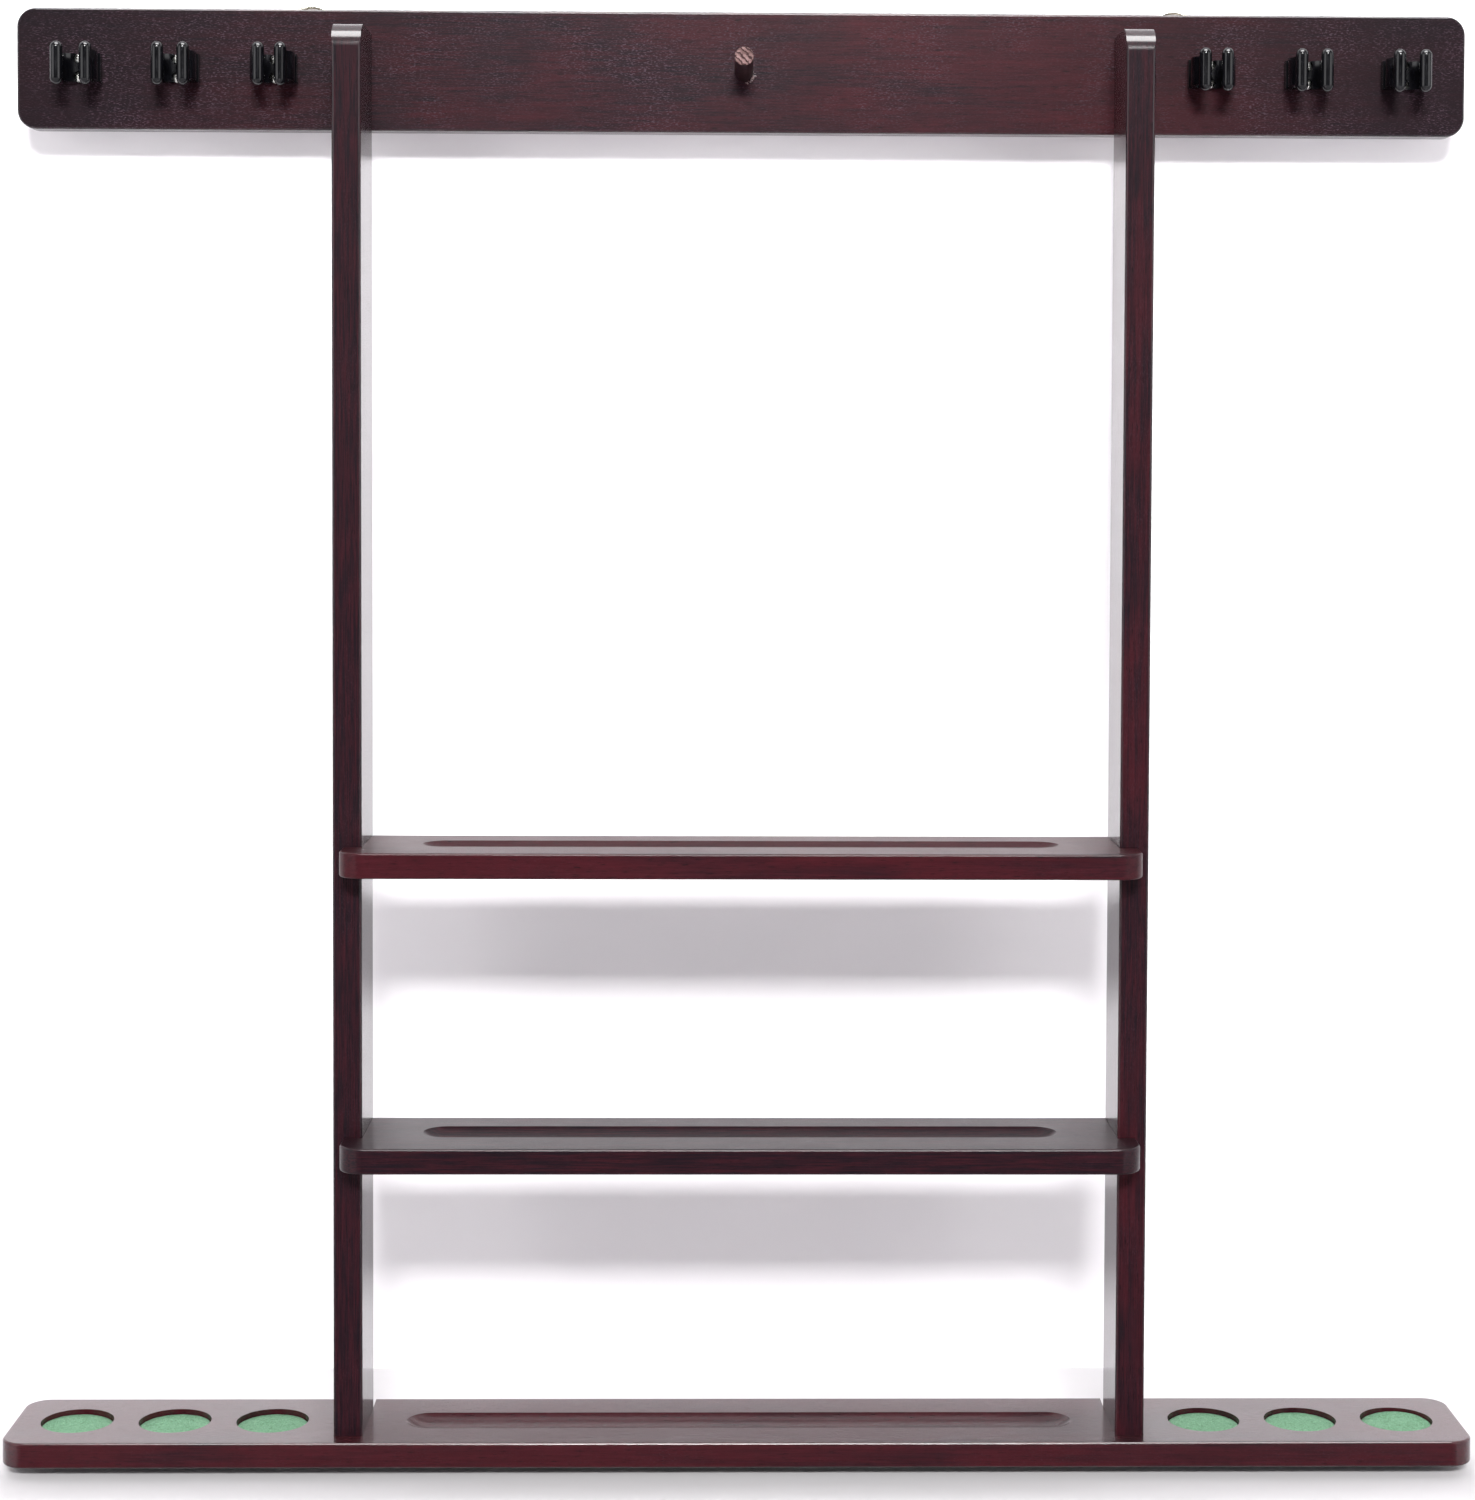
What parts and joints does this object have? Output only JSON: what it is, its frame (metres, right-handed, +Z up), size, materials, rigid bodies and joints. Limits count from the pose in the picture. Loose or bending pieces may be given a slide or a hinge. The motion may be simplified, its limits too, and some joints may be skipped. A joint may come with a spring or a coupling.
{
  "type": "wall cue rack",
  "caption": "Wall rack of dark wood for pool cues and balls: rail with rubber clips over felt-lined seats in a base shelf, and grooved shelves between two uprights.",
  "frame": {"origin": "centre of the base shelf's back face, in the plane of the wall", "axes": "+X to the rack's right as seen from the front, +Y into the wall, +Z up"},
  "size_m": [0.737, 0.0856, 0.7345],
  "materials": {
    "lacquered_wood": "dark mahogany stain under gloss lacquer",
    "peg_wood": "stained dowel with a raw sawn end",
    "clip_rubber": "semi-gloss black rubber",
    "green_felt": "short-napped felt",
    "screw_steel": "zinc plated",
    "hanger_brass": "brass plated steel"
  },
  "bodies": {
    "rack": {"top_rail": "lacquered_wood", "left_upright": "lacquered_wood", "right_upright": "lacquered_wood", "upper_ball_shelf": "lacquered_wood", "lower_ball_shelf": "lacquered_wood", "base_shelf": "lacquered_wood", "hanging_peg": "peg_wood", "cue_clip_1": "clip_rubber", "cue_clip_2": "clip_rubber", "cue_clip_3": "clip_rubber", "cue_clip_4": "clip_rubber", "cue_clip_5": "clip_rubber", "cue_clip_6": "clip_rubber", "felt_disc_1": "green_felt", "felt_disc_2": "green_felt", "felt_disc_3": "green_felt", "felt_disc_4": "green_felt", "felt_disc_5": "green_felt", "felt_disc_6": "green_felt", "clip_screws": "screw_steel", "rail_screws": "screw_steel", "shelf_screws": "screw_steel", "left_hanger_strap": "hanger_brass", "right_hanger_strap": "hanger_brass", "hanger_screws": "hanger_brass"},
    "left_ring": {"left_hanger_ring": "hanger_brass"},
    "right_ring": {"right_hanger_ring": "hanger_brass"}
  },
  "joints": [
    {"name": "left_ring_hinge", "type": "hinge", "parent": "rack", "child": "left_ring", "pos_m": [-0.221, 0.00211, 0.71182], "axis": [-1, 0, 0], "range_deg": [-5, 172]},
    {"name": "right_ring_hinge", "type": "hinge", "parent": "rack", "child": "right_ring", "pos_m": [0.221, 0.00211, 0.71182], "axis": [-1, 0, 0], "range_deg": [-5, 172]}
  ]
}
